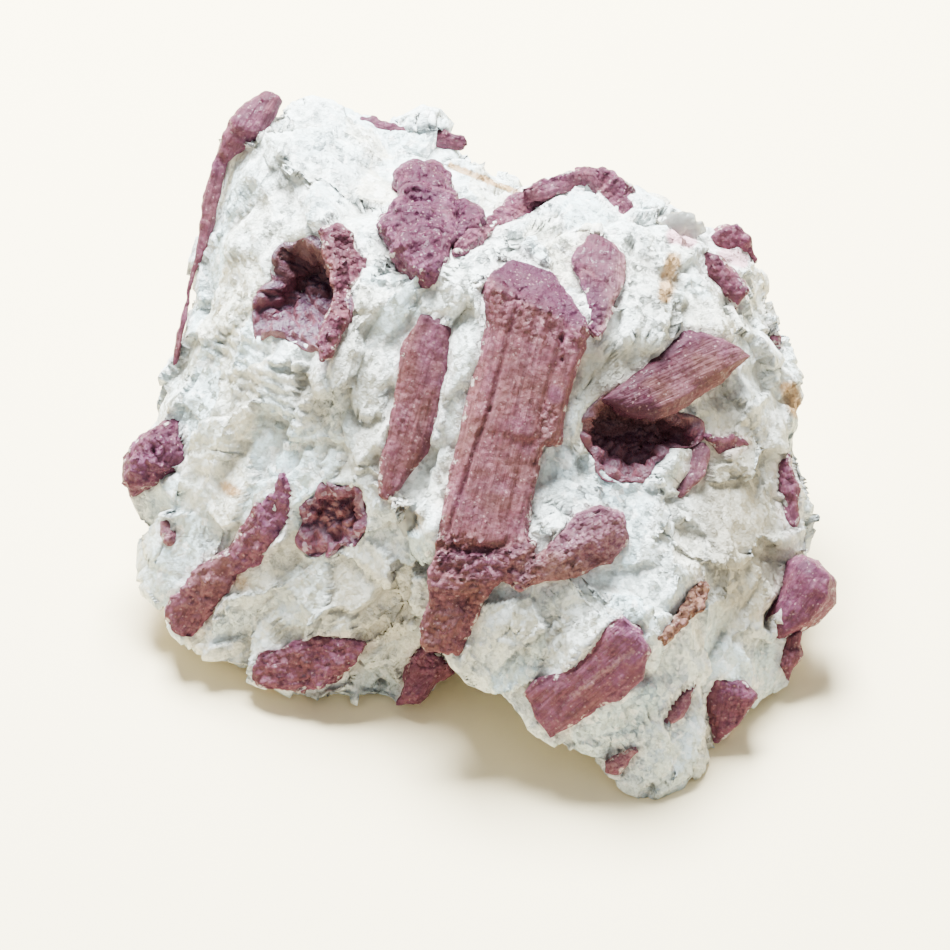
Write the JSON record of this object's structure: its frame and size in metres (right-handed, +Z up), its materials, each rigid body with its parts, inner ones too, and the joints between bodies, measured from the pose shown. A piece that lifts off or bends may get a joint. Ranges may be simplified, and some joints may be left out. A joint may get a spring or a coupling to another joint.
{
  "type": "tourmaline specimen",
  "caption": "Hand-sized chunk of white feldspar set with pink tourmaline prisms, broken crystal ends and small lined hollows, resting on its flattened underside.",
  "frame": {"origin": "centre of the underside's bounding box, on the surface it rests on", "axes": "+Z up; +X along the longest side; the best face looks towards -Y and up, about 45 degrees above level"},
  "size_m": [0.0908, 0.078, 0.0498],
  "materials": {
    "feldspar": "sugary white feldspar, broken, cleavage steps, faint beige and brown stains",
    "tourmaline": "brownish pink crystal, frosted and grainy with fine lengthwise lines",
    "stained_tourmaline": "crumbly pink crystal with ochre stain",
    "druse": "dark purple crust of small sparkling crystals",
    "quartz": "greyish translucent quartz grain, glassy"
  },
  "bodies": {
    "root": {"matrix": "feldspar", "upper_quartz": "quartz", "lower_quartz": "quartz", "upper_hollow_crust": "druse", "cave_crust": "druse", "middle_hollow_crust": "druse", "main_prism": "tourmaline", "slim_prism": "tourmaline", "shoulder_crystal": "tourmaline", "cave_prism": "tourmaline", "brow_prism": "tourmaline", "left_long_prism": "tourmaline", "ridge_crystal": "tourmaline", "upper_cluster": "tourmaline", "edge_prism": "tourmaline", "crest_prism": "tourmaline", "left_knob": "tourmaline", "left_bud": "tourmaline", "hollow_column": "tourmaline", "corner_knob": "tourmaline", "corner_crystal": "tourmaline", "right_sliver": "tourmaline", "cave_blade": "tourmaline", "cave_sliver": "tourmaline", "side_prism": "tourmaline", "side_knob": "tourmaline", "side_bud": "tourmaline", "foot_crystal": "tourmaline", "rusty_sliver": "stained_tourmaline", "toe_blade": "tourmaline", "toe_sliver": "tourmaline", "lower_left_crystal": "tourmaline", "bottom_crystal": "tourmaline", "back_long_prism": "tourmaline", "back_round_crystal": "tourmaline", "back_slim_prism": "tourmaline", "back_low_crystal": "tourmaline", "back_bud": "tourmaline", "back_crest_prism": "tourmaline"}
  },
  "joints": []
}
